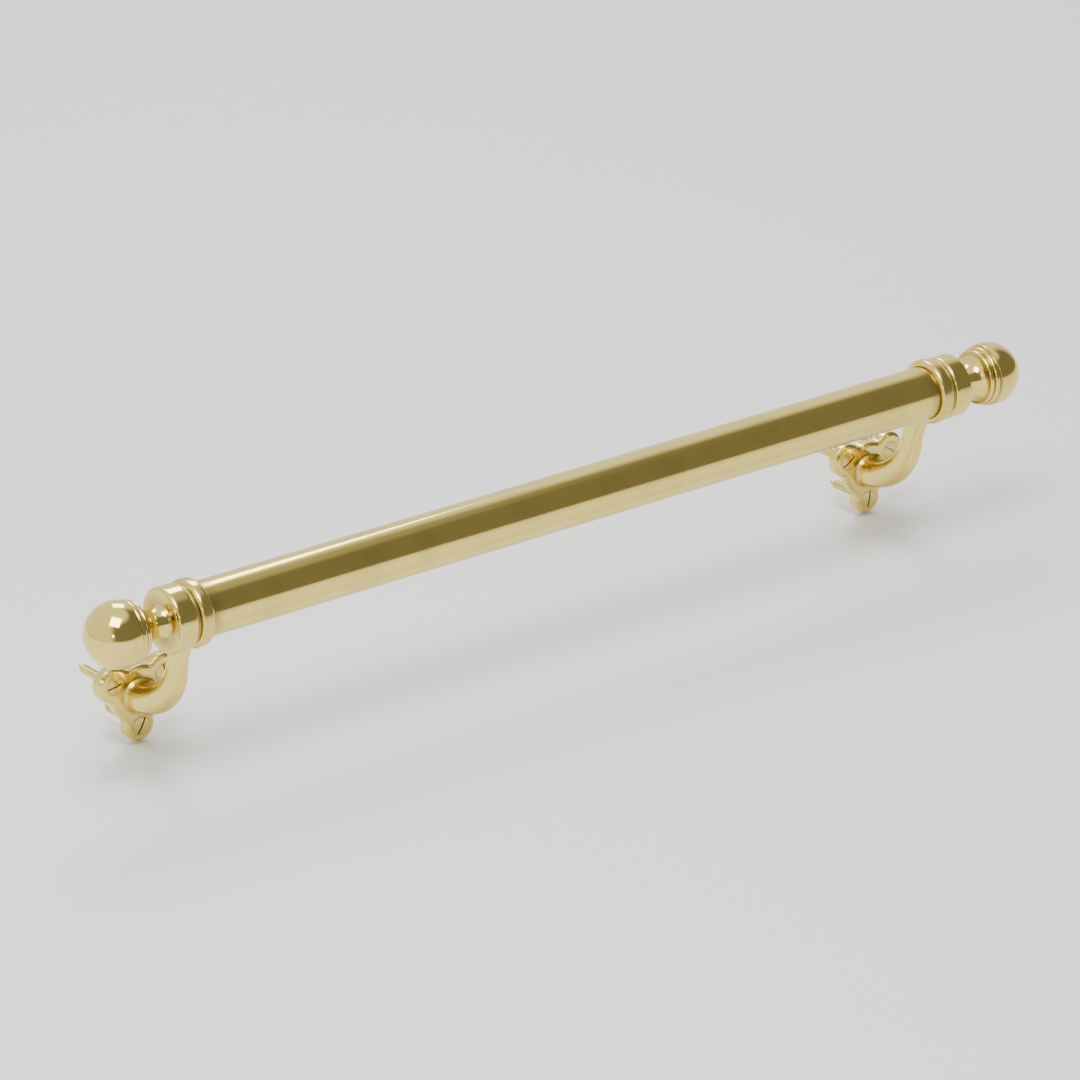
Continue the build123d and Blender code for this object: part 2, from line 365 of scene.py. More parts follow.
def finish_piece(piece, body, material, replaced, recess=None):
    """Shades a piece, gives it its material and puts it in the place of a node of the frame."""
    mesh = piece.data
    mesh.shade_smooth()
    mesh.set_sharp_from_angle(angle=SHARP_ANGLE)
    mark_recess(mesh, recess or (lambda x, y, z: np.zeros_like(x)))
    mesh.materials.clear()
    mesh.materials.append(material)
    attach(piece, body)
    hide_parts(replaced)


# ---------------------------------------------------------------- shader node groups


def group_tree(name, inputs, outputs):
    """A new shader node group with named sockets, and its input and output nodes."""
    tree = bpy.data.node_groups.new(name, "ShaderNodeTree")
    for label, kind, default in inputs:
        socket = tree.interface.new_socket(label, in_out="INPUT", socket_type=kind)
        if default is not None:
            socket.default_value = default
    for label, kind in outputs:
        tree.interface.new_socket(label, in_out="OUTPUT", socket_type=kind)
    return tree, tree.nodes.new("NodeGroupInput"), tree.nodes.new("NodeGroupOutput")


def node(tree, kind, settings=None, **inputs):
    """Adds a node. Settings are its own properties; inputs are values, or sockets to link from."""
    made = tree.nodes.new(kind)
    for name, value in (settings or {}).items():
        setattr(made, name, value)
    for name, value in inputs.items():
        place = int(name[1:]) if name[0] == "_" and name[1:].isdigit() else name.replace("_", " ")
        if isinstance(value, bpy.types.NodeSocket):
            tree.links.new(value, made.inputs[place])
        else:
            made.inputs[place].default_value = value
    return made


def tarnish_and_shade_group():
    """Thin brown tarnish in soft patches over open metal, and painted shade, with thicker tarnish, where the
    surface is sheltered.
    """
    if "Tarnish" in bpy.data.node_groups:
        return bpy.data.node_groups["Tarnish"]
    tree, given, result = group_tree(
        "Tarnish",
        [
            ("Position", "NodeSocketVector", None),
            ("Patch Size", "NodeSocketFloat", 0.02),
            ("Patches", "NodeSocketFloat", 0.2),
            ("Recess", "NodeSocketFloat", 0.0),
            ("Recess Amount", "NodeSocketFloat", 0.7),
            ("Clean", "NodeSocketColor", (0.8, 0.6, 0.25, 1)),
            ("Tarnished", "NodeSocketColor", (0.4, 0.25, 0.08, 1)),
        ],
        [("Colour", "NodeSocketColor"), ("Mask", "NodeSocketFloat")],
    )
    scale = node(tree, "ShaderNodeMath", {"operation": "DIVIDE"}, _0=1.0, _1=given.outputs["Patch Size"])
    cloud = node(
        tree,
        "ShaderNodeTexNoise",
        Vector=given.outputs["Position"],
        Scale=scale.outputs[0],
        Detail=5.0,
        Roughness=0.62,
        Distortion=0.4,
    )
    patch = node(
        tree,
        "ShaderNodeMapRange",
        {"interpolation_type": "SMOOTHSTEP"},
        Value=cloud.outputs["Fac"],
        From_Min=0.42,
        From_Max=0.72,
    )
    patches = node(
        tree, "ShaderNodeMath", {"operation": "MULTIPLY"}, _0=patch.outputs[0], _1=given.outputs["Patches"]
    )
    ragged = node(
        tree,
        "ShaderNodeMapRange",
        Value=cloud.outputs["Fac"],
        From_Min=0.3,
        From_Max=0.6,
        To_Min=0.55,
        To_Max=1.15,
    )
    # Painted shade, with tarnish: the mark from the mesh, made ragged by the cloud, darkens grooves, slots and
    # joints towards the tarnish colour.
    sheltered = node(
        tree, "ShaderNodeMath", {"operation": "MULTIPLY"}, _0=given.outputs["Recess"], _1=ragged.outputs[0]
    )
    recess_darkening = node(
        tree,
        "ShaderNodeMath",
        {"operation": "MULTIPLY"},
        _0=sheltered.outputs[0],
        _1=given.outputs["Recess Amount"],
    )
    mask = node(
        tree,
        "ShaderNodeMath",
        {"operation": "ADD", "use_clamp": True},
        _0=patches.outputs[0],
        _1=recess_darkening.outputs[0],
    )
    mixed = node(
        tree,
        "ShaderNodeMix",
        {"data_type": "RGBA"},
        Factor=mask.outputs[0],
        _6=given.outputs["Clean"],
        _7=given.outputs["Tarnished"],
    )
    tree.links.new(mixed.outputs[2], result.inputs["Colour"])
    tree.links.new(mask.outputs[0], result.inputs["Mask"])
    return tree


def polish_group():
    """Fine lines left by the polishing mop or the lathe, as small changes of roughness and height."""
    if "Polish Lines" in bpy.data.node_groups:
        return bpy.data.node_groups["Polish Lines"]
    tree, given, result = group_tree(
        "Polish Lines",
        [
            ("Position", "NodeSocketVector", None),
            ("Stretch", "NodeSocketVector", (1.0, 1.0, 1.0)),
            ("Line Width", "NodeSocketFloat", 0.0003),
            ("Roughness", "NodeSocketFloat", 0.08),
            ("Change", "NodeSocketFloat", 0.05),
            ("Tarnish", "NodeSocketFloat", 0.0),
            ("Tarnish Roughness", "NodeSocketFloat", 0.22),
        ],
        [("Roughness", "NodeSocketFloat"), ("Height", "NodeSocketFloat")],
    )
    stretched = node(
        tree,
        "ShaderNodeVectorMath",
        {"operation": "MULTIPLY"},
        _0=given.outputs["Position"],
        _1=given.outputs["Stretch"],
    )
    scale = node(tree, "ShaderNodeMath", {"operation": "DIVIDE"}, _0=1.0, _1=given.outputs["Line Width"])
    lines = node(
        tree,
        "ShaderNodeTexNoise",
        Vector=stretched.outputs[0],
        Scale=scale.outputs[0],
        Detail=3.0,
        Roughness=0.6,
    )
    smudge = node(
        tree,
        "ShaderNodeTexNoise",
        Vector=given.outputs["Position"],
        Scale=95.0,
        Detail=4.0,
        Roughness=0.55,
        Distortion=0.8,
    )
    both = node(
        tree, "ShaderNodeMath", {"operation": "MULTIPLY"}, _0=lines.outputs["Fac"], _1=smudge.outputs["Fac"]
    )
    change = node(
        tree,
        "ShaderNodeMath",
        {"operation": "MULTIPLY_ADD"},
        _0=both.outputs[0],
        _1=given.outputs["Change"],
        _2=given.outputs["Roughness"],
    )
    rough = node(
        tree,
        "ShaderNodeMath",
        {"operation": "MULTIPLY_ADD", "use_clamp": True},
        _0=given.outputs["Tarnish"],
        _1=given.outputs["Tarnish Roughness"],
        _2=change.outputs[0],
    )
    tree.links.new(rough.outputs[0], result.inputs["Roughness"])
    tree.links.new(lines.outputs["Fac"], result.inputs["Height"])
    return tree


def casting_group():
    """The soft unevenness of a sand casting that was filed and polished by hand."""
    if "Hand Filed Casting" in bpy.data.node_groups:
        return bpy.data.node_groups["Hand Filed Casting"]
    tree, given, result = group_tree(
        "Hand Filed Casting",
        [("Position", "NodeSocketVector", None), ("Wave Length", "NodeSocketFloat", 0.006)],
        [("Height", "NodeSocketFloat")],
    )
    scale = node(tree, "ShaderNodeMath", {"operation": "DIVIDE"}, _0=1.0, _1=given.outputs["Wave Length"])
    waves = node(
        tree,
        "ShaderNodeTexNoise",
        Vector=given.outputs["Position"],
        Scale=scale.outputs[0],
        Detail=2.0,
        Roughness=0.45,
    )
    tree.links.new(waves.outputs["Fac"], result.inputs["Height"])
    return tree


# ---------------------------------------------------------------- materials


def metal(name, clean, tarnish_and_shade_colour, stretch, line_width, roughness, change, patches, casting, line_depth):
    """A metal with tarnish, painted shade in its recesses, polishing lines and, where casting isn't nothing, a
    hand-filed surface.

    Line depth and casting are heights in metres.
    """
    if name in bpy.data.materials:
        return bpy.data.materials[name]
    finish = bpy.context.scene.sash_lift_finish
    material = bpy.data.materials.new(name)
    material.use_nodes = True
    tree = material.node_tree
    shader = tree.nodes["Principled BSDF"]
    shader.inputs["Metallic"].default_value = 1.0
    place = node(tree, "ShaderNodeTexCoord").outputs["Object"]
    # This mark darkens the colour as painted shade, with tarnish, through the tarnish group.
    recess = node(tree, "ShaderNodeAttribute", {"attribute_name": "recess"}).outputs["Fac"]
    tarnish = node(
        tree,
        "ShaderNodeGroup",
        {"node_tree": tarnish_and_shade_group()},
        Position=place,
        Patch_Size=0.024,
        Patches=patches,
        Recess=recess,
        Recess_Amount=finish.recesses,
        Clean=(*clean, 1),
        Tarnished=(*tarnish_and_shade_colour, 1),
    )
    polish = node(
        tree,
        "ShaderNodeGroup",
        {"node_tree": polish_group()},
        Position=place,
        Stretch=stretch,
        Line_Width=line_width,
        Roughness=roughness,
        Change=change,
        Tarnish=tarnish.outputs["Mask"],
    )
    tree.links.new(tarnish.outputs["Colour"], shader.inputs["Base Color"])
    tree.links.new(polish.outputs["Roughness"], shader.inputs["Roughness"])
    lines = node(tree, "ShaderNodeBump", Strength=1.0, Distance=line_depth, Height=polish.outputs["Height"])
    normal = lines.outputs["Normal"]
    if casting:
        filed = node(
            tree, "ShaderNodeGroup", {"node_tree": casting_group()}, Position=place, Wave_Length=0.007
        )
        waves = node(
            tree,
            "ShaderNodeBump",
            Strength=1.0,
            Distance=casting,
            Height=filed.outputs["Height"],
            Normal=normal,
        )
        normal = waves.outputs["Normal"]
    tree.links.new(normal, shader.inputs["Normal"])
    return material


# How the polishing lines are drawn out: the smaller the number, the longer the lines along that axis
ALONG_THE_BAR = (0.03, 1.0, 1.0)
ROUND_THE_AXIS = (1.0, 0.04, 0.04)
EVERY_WAY = (1.0, 1.0, 1.0)


def bar_brass():
    """Drawn tube, polished lengthwise and rubbed by hands."""
    finish = bpy.context.scene.sash_lift_finish
    return metal(
        "Bar Brass", finish.brass, finish.tarnish, ALONG_THE_BAR, line_width=0.0006,
        roughness=finish.polish, change=0.10, patches=finish.patches, casting=0.0, line_depth=0.0000012,
    )


def turned_brass():
    """Lathe-turned brass with the fine rings of the tool."""
    finish = bpy.context.scene.sash_lift_finish
    return metal(
        "Turned Brass", finish.brass, finish.tarnish, ROUND_THE_AXIS, line_width=0.00035,
        roughness=finish.polish, change=0.10, patches=finish.patches, casting=0.0, line_depth=0.0000012,
    )


def cast_brass():
    """Cast brass, filed and polished by hand."""
    finish = bpy.context.scene.sash_lift_finish
    return metal(
        "Cast Brass", finish.brass, finish.tarnish, EVERY_WAY, line_width=0.0007,
        roughness=finish.polish + 0.05, change=0.16, patches=finish.patches + 0.12,
        casting=0.00012, line_depth=0.000003,
    )


def screw_brass():
    """Satin turned brass of the screws, plugs and washers."""
    finish = bpy.context.scene.sash_lift_finish
    return metal(
        "Screw Brass", finish.screw, finish.tarnish, EVERY_WAY, line_width=0.0004,
        roughness=finish.polish + 0.14, change=0.15, patches=finish.patches + 0.1,
        casting=0.0, line_depth=0.000003,
    )


def zinc_steel():
    """Bright zinc plate on steel."""
    finish = bpy.context.scene.sash_lift_finish
    dull = tuple(0.62 * channel for channel in finish.zinc)
    return metal(
        "Zinc Steel", finish.zinc, dull, EVERY_WAY, line_width=0.0005,
        roughness=0.24, change=0.18, patches=0.3, casting=0.0, line_depth=0.000003,
    )


def black_steel():
    """Black oxide on steel."""
    finish = bpy.context.scene.sash_lift_finish
    worn = tuple(2.2 * channel for channel in finish.black)
    return metal(
        "Black Steel", finish.black, worn, EVERY_WAY, line_width=0.0005,
        roughness=0.34, change=0.2, patches=0.25, casting=0.0, line_depth=0.000003,
    )


# ---------------------------------------------------------------- shapes


def tube_profile(sizes):
    """The tube's wall cut lengthwise: a long thin rectangle with rounded corners, walked all round."""
    corners = [
        (0.0, TUBE_RADIUS),
        (TUBE_END, TUBE_RADIUS),
        (TUBE_END, sizes.tube_bore),
        (-TUBE_END, sizes.tube_bore),
        (-TUBE_END, TUBE_RADIUS),
        (0.0, TUBE_RADIUS),
    ]
    return divided(rounded(corners, [sizes.tube_edge] * 4, 4), 6 * MM)


NECK_PLACE = 4.0 * MM  # from the base ring's end to the thinnest part of the neck
# The ends of the two beads: how far each is before the ball's centre, and its radius
FIRST_BEAD = ((8.2 * MM, 10.3 * MM), (6.1 * MM, 11.0 * MM))
SECOND_BEAD = ((5.8 * MM, 11.0 * MM), (3.6 * MM, 11.9 * MM))
BEAD_HEIGHT = 0.85 * MM
BEAD_GROOVES = (8.3 * MM, 5.95 * MM, 3.4 * MM)
DOME_START = 104.5  # degrees from the tip


def finial_profile(sizes):
    """Half the finial cut lengthwise, from the middle of its seat to its tip.

    A base ring with rounded edges, a hollow neck on an arc, a flare that climbs to two fine beads,
    and a ball.
    """
    ball = FINIAL_TIP - FINIAL_RADIUS
    base_end = FINIAL_SEAT + sizes.base_length
    neck_start, neck_low = (base_end, sizes.shoulder), (base_end + NECK_PLACE, sizes.neck_radius)
    first = [(ball - before, radius) for before, radius in FIRST_BEAD]
    second = [(ball - before, radius) for before, radius in SECOND_BEAD]
    base = rounded(
        [
            (FINIAL_SEAT, 0.0),
            (FINIAL_SEAT, FINIAL_RADIUS),
            (base_end, FINIAL_RADIUS),
            (base_end, sizes.shoulder),
            neck_low,
        ],
        [sizes.base_edge, sizes.base_edge, 0.6 * MM],
    )[:-1]
    cove = through(neck_start, neck_low, first[0], 28)[3:]
    beads = [bead(*first, BEAD_HEIGHT), bead(*second, BEAD_HEIGHT)]
    dome = arc((ball, 0.0), FINIAL_RADIUS, DOME_START, 0, 64)
    return divided(np.concatenate([base, cove, *beads, dome]), 0.6 * MM)


def through(start, middle, end, steps):
    """Points on the circle through three points, from the first to the last.

    Its centre is where the bisectors of the two chords meet.
    """
    start, middle, end = (np.array(point, float) for point in (start, middle, end))
    chords = np.array([middle - start, end - middle])
    halves = np.array([(middle + start) / 2, (end + middle) / 2])
    centre = np.linalg.solve(chords, (chords * halves).sum(axis=1))
    angles = [math.atan2(*(point - centre)[::-1]) for point in (start, middle, end)]
    swing = np.unwrap(angles)
    return arc(centre, np.linalg.norm(start - centre), math.degrees(swing[0]), math.degrees(swing[2]), steps)


def bead(start, end, height):
    """A small round bead between two points: an arc that stands a height above their middle."""
    start, end = np.array(start), np.array(end)
    run = end - start
    outward = np.array([-run[1], run[0]]) / np.linalg.norm(run)
    return through(start, (start + end) / 2 + outward * height, end, 10)


def ring_profile(start, end, bore, rim, rim_edge, bore_edge):
    """The section of a ring: a rectangle with rounded corners, walked all round from its bore."""
    middle = (start + end) / 2
    corners = [(middle, bore), (end, bore), (end, rim), (start, rim), (start, bore), (middle, bore)]
    return divided(rounded(corners, [bore_edge, rim_edge, rim_edge, bore_edge], 8), 0.8 * MM)


def lobe_outline(lobe_radius, sizes):
    """Outline of a third of the trefoil, and the way out of the plate at each point.

    The lobe lies along +X. The outline is an arc of the round centre, a hollow arc that touches
    centre and lobe, the lobe's own arc, and the same two again. The hollow arc's centre comes from
    the triangle whose sides are the sum of centre and hollow radii, the sum of lobe and hollow
    radii, and the screw circle's radius.
    """
    middle, notch = sizes.plate_centre, sizes.plate_notch
    a, b, c = middle + notch, lobe_radius + notch, SCREW_CIRCLE
    at_middle = math.degrees(math.acos((a * a + c * c - b * b) / (2 * a * c)))
    at_lobe = 180 - math.degrees(math.acos((b * b + c * c - a * a) / (2 * b * c)))
    hollow = a * np.array([math.cos(math.radians(at_middle)), -math.sin(math.radians(at_middle))])
    first = arc((0, 0), middle, -60, -at_middle, 10)
    second = arc(hollow, notch, 180 - at_middle, 180 - at_lobe, 14)
    half_lobe = arc((SCREW_CIRCLE, 0), lobe_radius, -at_lobe, 0, 40)
    half = np.concatenate([first, second[1:], half_lobe[1:]])
    out = np.concatenate(
        [
            first / middle,
            (hollow - second[1:]) / notch,
            (half_lobe[1:] - (SCREW_CIRCLE, 0)) / lobe_radius,
        ]
    )
    mirror = np.array([1, -1])
    return np.concatenate([half, half[-2::-1] * mirror]), np.concatenate([out, out[-2::-1] * mirror])


def lobe_sheets(lobe_radius, sizes):
    """The surfaces of a third of the plate, with the lobe along +X and the back at height 0.

    Three grids: the rim, from the front face over the bevel to the back; the face, hole and back,
    where each column runs from the front's border straight to the countersink, down the hole, and
    out again to the back's border; and the wall of the hole in the middle of the plate.
    """
    outline, out = lobe_outline(lobe_radius, sizes)
    bevel, top = sizes.plate_bevel, PLATE_THICKNESS
    border_width, back_edge = 0.8 * MM, 0.25 * MM
    rim = rounded(
        [(bevel + border_width, top), (bevel, top), (0, top - bevel), (0, back_edge), (back_edge, 0)],
        [sizes.plate_edge, sizes.plate_edge, 0.0],
        6,
    )
    rim = divided(rim, 0.7 * MM)
    rim_points = outline[None] - out[None] * rim[:, :1, None]
    rim_sheet = np.dstack([rim_points, np.broadcast_to(rim[:, 1:], rim_points.shape[:2])])

    def border(edge, hole):
        """The rim's edge, the line in to the middle hole, its arc, and the line out again."""
        inwards = np.linspace(edge[-1], hole * edge[-1] / np.linalg.norm(edge[-1]), 9)
        round_hole = arc((0, 0), hole, 60, -60, 24)
        outwards = np.linspace(hole * edge[0] / np.linalg.norm(edge[0]), edge[0], 9)
        return np.concatenate([edge, inwards[1:], round_hole[1:], outwards[1:]])

    front = border(rim_points[0], sizes.centre_hole)
    back = border(rim_points[-1], sizes.centre_sink)
    screw = np.array([SCREW_CIRCLE, 0.0])

    def round_the_hole(edge):
        """Angles of the border seen from the screw, evened out a little so that none fall together."""
        seen = np.unwrap(np.arctan2(*(edge - screw).T[::-1]))
        return 0.85 * seen + 0.15 * np.linspace(seen[0], seen[-1], len(seen))

    front_angle, back_angle = round_the_hole(front), round_the_hole(back)
    sink = SCREW_HEAD + sizes.screw_gap
    wall = [(sink, top), (sizes.screw_hole, top - sink + sizes.screw_hole), (sizes.screw_hole, 0.0)]
    wall = divided(np.array(wall), 0.5 * MM)
    blend = np.linspace(0, 1, len(wall))[:, None]
    angle = front_angle * (1 - blend) + back_angle * blend
    hole_points = screw + wall[:, :1, None] * np.stack([np.cos(angle), np.sin(angle)], axis=-1)
    steps = np.linspace(0, 1, 7)[:, None, None]
    front_points = front * (1 - steps) + hole_points[0] * steps
    back_points = hole_points[-1] * (1 - steps) + back * steps
    level = np.concatenate([np.full(6, top), wall[:, 1], np.zeros(6)])
    flat = np.concatenate([front_points[:-1], hole_points, back_points[1:]])
    face_sheet = np.dstack([flat, np.broadcast_to(level[:, None], flat.shape[:2])])

    step = sizes.centre_sink - sizes.centre_hole
    bore = np.array([(sizes.centre_hole, top), (sizes.centre_hole, step), (sizes.centre_sink, 0.0)])
    turn = arc((0, 0), 1.0, 60, -60, 24)
    bore_points = bore[:, :1, None] * turn
    bore_sheet = np.dstack([bore_points, np.broadcast_to(bore[:, 1:], bore_points.shape[:2])])
    return rim_sheet, face_sheet, bore_sheet


def on_plate(sheet, angle, sign):
    """Turns a sheet from the lobe's own axes to the lobe's angle on a plate, mirrored for the left."""
    turn = math.radians(angle)
    across = sheet[..., 0] * math.cos(turn) - sheet[..., 1] * math.sin(turn)
    up = sheet[..., 0] * math.sin(turn) + sheet[..., 1] * math.cos(turn)
    return np.stack([sign * (PLATE_X + across), -sheet[..., 2], up], axis=-1)


ARM_TURN = math.radians(81)  # how far the arm turns up from straight forwards
ARM_RUN_ON = 24 * MM  # straight run after the bend, long enough to pass the eye's wall
ARM_NECK = 9 * MM  # run after the bend where the arm is as thin as its neck
WAIST_END = 0.62  # share of the bend at which the waist is reached
NECK_START = 0.35  # share of the bend at which the arm starts to thin towards its neck
FOOT_FADE = 1.1 * MM
WEB_BEFORE, WEB_AFTER = 9 * MM, 7 * MM  # where the web starts and ends, before and after the neck
OVAL_POWER = 2.35  # 2 is an ellipse, and more is squarer


def arm_sheets(sizes, sign):
    """The bracket arm: oval sections carried along its middle line, from the plate to the eye.

    The middle line leaves the plate straight forwards, turns up on an arc and runs on straight. Each
    section is a superellipse: its half width times the cosine to the power 2/n, and its half depth
    times the sine to the power 2/n, where n is OVAL_POWER. Under the eye the front half alone
    spreads forwards, as a web.
    Each line along the arm stops where it meets a cylinder in the middle of the eye's wall, and a
    patch of that cylinder closes the arm's end.
    """
    bend = sizes.bend_radius
    bend_length = bend * ARM_TURN
    distance = np.linspace(0, bend_length + ARM_RUN_ON, 420)
    heading = np.minimum(distance / bend, ARM_TURN)
    run_on = np.maximum(distance - bend_length, 0)
    forward = bend * np.sin(heading) + run_on * math.cos(ARM_TURN)
    rise = bend * (1 - np.cos(heading)) + run_on * math.sin(ARM_TURN)

    meet = bend_length + ARM_NECK
    to_waist = smoothstep(distance, 0, WAIST_END * bend_length)
    to_neck = smoothstep(distance, NECK_START * bend_length, meet)
    spread = sizes.foot_flare * np.exp(-distance / FOOT_FADE)
    width = FOOT_WIDTH - 2 * sizes.foot_flare
    width += (sizes.waist_width - width) * to_waist + (sizes.neck_width - sizes.waist_width) * to_neck
    depth = sizes.foot_height - 2 * sizes.foot_flare
    depth += (sizes.waist_depth - depth) * to_waist + (sizes.neck_depth - sizes.waist_depth) * to_neck
    web = sizes.neck_flare * smoothstep(distance, meet - WEB_BEFORE, meet + WEB_AFTER)

    angle = np.linspace(0, 2 * math.pi, 129)
    power = 2 / OVAL_POWER
    side = np.sign(np.cos(angle)) * np.abs(np.cos(angle)) ** power
    over = np.sign(np.sin(angle)) * np.abs(np.sin(angle)) ** power
    across = (width[:, None] / 2 + spread[:, None]) * side
    away = (depth[:, None] / 2 + spread[:, None] + web[:, None] * (over < 0)) * over
    y = -PLATE_THICKNESS - forward[:, None] + away * np.sin(heading)[:, None]
    z = rise[:, None] + away * np.cos(heading)[:, None]
    points = np.stack([sign * PLATE_X + across, y, z], axis=-1)

    wall = (sizes.eye_bore + EYE_RADIUS) / 2
    reach = np.hypot(y - AXIS_Y, z - AXIS_Z)
    inside = reach <= wall
    if not inside.any(axis=0).all():
        raise RuntimeError("a line along the bracket arm never reaches the eye")
    after = inside.argmax(axis=0)
    column = np.arange(len(angle))
    far, near = reach[after - 1, column], reach[after, column]
    stop = after - 1 + (far - wall) / (far - near)
    wanted = np.linspace(0, 1, 150)[:, None] * stop
    below = np.minimum(wanted.astype(int), len(distance) - 2)
    part = (wanted - below)[..., None]
    body = points[below, column] * (1 - part) + points[below + 1, column] * part

    rim_turn = np.arctan2(body[-1, :, 2] - AXIS_Z, body[-1, :, 1] - AXIS_Y)
    rim_across = body[-1, :, 0]
    shrink = np.linspace(1, 0, 12)[:, None]
    patch_turn = rim_turn.mean() + (rim_turn - rim_turn.mean()) * shrink
    patch_across = sign * PLATE_X + (rim_across - sign * PLATE_X) * shrink
    patch = np.stack(
        [patch_across, AXIS_Y + wall * np.cos(patch_turn), AXIS_Z + wall * np.sin(patch_turn)], axis=-1
    )
    foot_middle = np.array([sign * PLATE_X, -PLATE_THICKNESS, 0.0])
    foot = foot_middle + (body[0] - foot_middle) * np.linspace(0, 1, 8)[:, None, None]
    patch[0] = body[-1]
    return foot, body, patch


# How far back the dome of a screw's head is, halfway out and at its rim
CROWN_RISE, CROWN_EDGE = 0.1 * MM, 0.4 * MM
THREAD_START = 0.6 * MM  # behind the sash's face


def screw_sheet(sizes, centre_x, centre_z):
    """A wood screw: its profile turned round a line along Y, with a ridge wound round its lower part.

    The ridge's height at a point, kept between 0 and 1, is one and a quarter less two and a half
    times the distance of (depth over pitch, less the share of a turn) from the nearest whole number,
    so that it moves on by one pitch in each turn. It fades in below the shank, and root and ridge
    both run out at the point.
    """
    steps = 48
    head_side = SCREW_CROWN + CROWN_EDGE
    under_head = head_side + SCREW_HEAD - sizes.shank_radius
    halfway = (SCREW_CROWN + CROWN_RISE, SCREW_HEAD / 2)
    crown = through((SCREW_CROWN, 0.0), halfway, (head_side, SCREW_HEAD), 12)
    head = np.concatenate([crown[:-1], [(head_side, SCREW_HEAD), (under_head, sizes.shank_radius)]])
    head = divided(head, 0.3 * MM)
    shank = divided(np.array([(under_head, sizes.shank_radius), (THREAD_START, sizes.shank_end)]), 0.5 * MM)
    depth = np.arange(THREAD_START, SCREW_TIP, sizes.thread_pitch / 14)[1:]
    thread = np.stack([depth, np.full_like(depth, sizes.thread_root)], axis=1)
    profile = np.concatenate([head, shank[1:], thread, [(SCREW_TIP, 0.0)]])
    angles = np.linspace(0, 2 * math.pi, steps + 1)
    y, radius = profile[:, :1], profile[:, 1:]
    cycle = y / sizes.thread_pitch - angles / (2 * math.pi)
    ridge = np.clip(1.25 - 2.5 * np.abs(cycle - np.round(cycle)), 0, 1)
    fade_in = smoothstep(y, THREAD_START, THREAD_START + sizes.thread_pitch)
    taper = np.clip((SCREW_TIP - y) / sizes.point_length, 0, 1) ** 0.8
    core = sizes.shank_end + (sizes.thread_root - sizes.shank_end) * fade_in
    wound = taper * (core + fade_in * ridge * (THREAD_RADIUS - sizes.thread_root))
    radius = np.where(y > THREAD_START, wound, radius)
    around = [centre_x + radius * np.cos(angles), centre_z + radius * np.sin(angles)]
    return np.stack([around[0], np.broadcast_to(y, radius.shape), around[1]], axis=-1)


def lobe_centre(angle, sign):
    """Across and up to the centre of a lobe's screw."""
    turn = math.radians(angle)
    return sign * (PLATE_X + SCREW_CIRCLE * math.cos(turn)), SCREW_CIRCLE * math.sin(turn)


# ---------------------------------------------------------------- operators


class SASHLIFT_OT_bar(Operator):
    """Make the bar: a tube with rounded ends that runs through both eyes"""

    bl_idname = "sashlift.bar"
    bl_label = "Bar"

    def execute(self, context):
        sizes = context.scene.sash_lift_sizes
        mesh = closed_mesh("bar", [turned(tube_profile(sizes), 1, sizes.turned_steps)])
        bar = new_object("bar", mesh)
        gap = TUBE_END - sizes.eye_width / 2

        # Painted shade, with tarnish: a dark band round the bar near where it passes into the eye.
        def recess(x, y, z):
            return 0.8 * hump(np.abs(x), gap - 3.2 * MM, 1.3 * MM)

        finish_piece(bar, "bar", bar_brass(), "bar_tube", recess)
        return {"FINISHED"}


class SASHLIFT_OT_finials(Operator):
    """Make the two finials, each with the hole for its grub screw"""

    bl_idname = "sashlift.finials"
    bl_label = "Finials"

    def execute(self, context):
        sizes = context.scene.sash_lift_sizes
        profile = finial_profile(sizes)
        base_end = FINIAL_SEAT + sizes.base_length
        ball = FINIAL_TIP - FINIAL_RADIUS

        # Painted shade, with tarnish: dark in the neck groove by the base ring and in the grooves beside the
        # beads.
        def recess(x, y, z):
            along = np.abs(x)
            radius = np.hypot(y - AXIS_Y, z - AXIS_Z)
            neck = hump(along, base_end, 0.9 * MM) * smoothstep(radius, FINIAL_RADIUS, sizes.shoulder)
            grooves = sum(hump(along, ball - before, 0.32 * MM) for before in BEAD_GROOVES)
            return 0.9 * neck + 0.9 * grooves

        for side, sign in SIDES:
            mesh = closed_mesh(f"{side}_ball_finial", [turned(profile, sign, sizes.turned_steps)])
            finial = new_object(f"{side}_ball_finial", mesh)
            combined(finial, grub_hole(sign), "DIFFERENCE")
            finish_piece(finial, "bar", turned_brass(), f"{side}_finial", recess)
        return {"FINISHED"}


def grub_hole(sign):
    """A round cutter that stands under the finial's base, from the stud out past the rim."""
    steps = 48
    angles = np.linspace(0, 2 * math.pi, steps + 1)
    stud, past_rim = 3 * MM, 16 * MM
    profile = [(0.0, stud), (GRUB_RADIUS, stud), (GRUB_RADIUS, past_rim), (0.0, past_rim)]
    radius, down = np.array(profile).T[:, :, None]
    x = sign * GRUB_X + radius * np.cos(angles)
    y = AXIS_Y + radius * np.sin(angles)
    z = np.broadcast_to(AXIS_Z - down, x.shape)
    return closed_mesh("grub_hole", [np.stack([x, y, z], axis=-1)])


class SASHLIFT_OT_washers(Operator):
    """Make the two washers between the eyes and the finials"""

    bl_idname = "sashlift.washers"
    bl_label = "Washers"

    def execute(self, context):
        sizes = context.scene.sash_lift_sizes
        edge = sizes.washer_edge
        profile = ring_profile(WASHER_START, WASHER_END, sizes.washer_bore, WASHER_RADIUS, edge, 0.15 * MM)
        for side, sign in SIDES:
            mesh = closed_mesh(f"{side}_brass_washer", [turned(profile, sign, sizes.turned_steps)])
            washer = new_object(f"{side}_brass_washer", mesh)

            # Painted shade, with tarnish, over the whole washer between eye and finial.
            def recess(x, y, z):
                return np.full_like(x, 0.75)

            finish_piece(washer, "bar", screw_brass(), f"{side}_washer", recess)
        return {"FINISHED"}


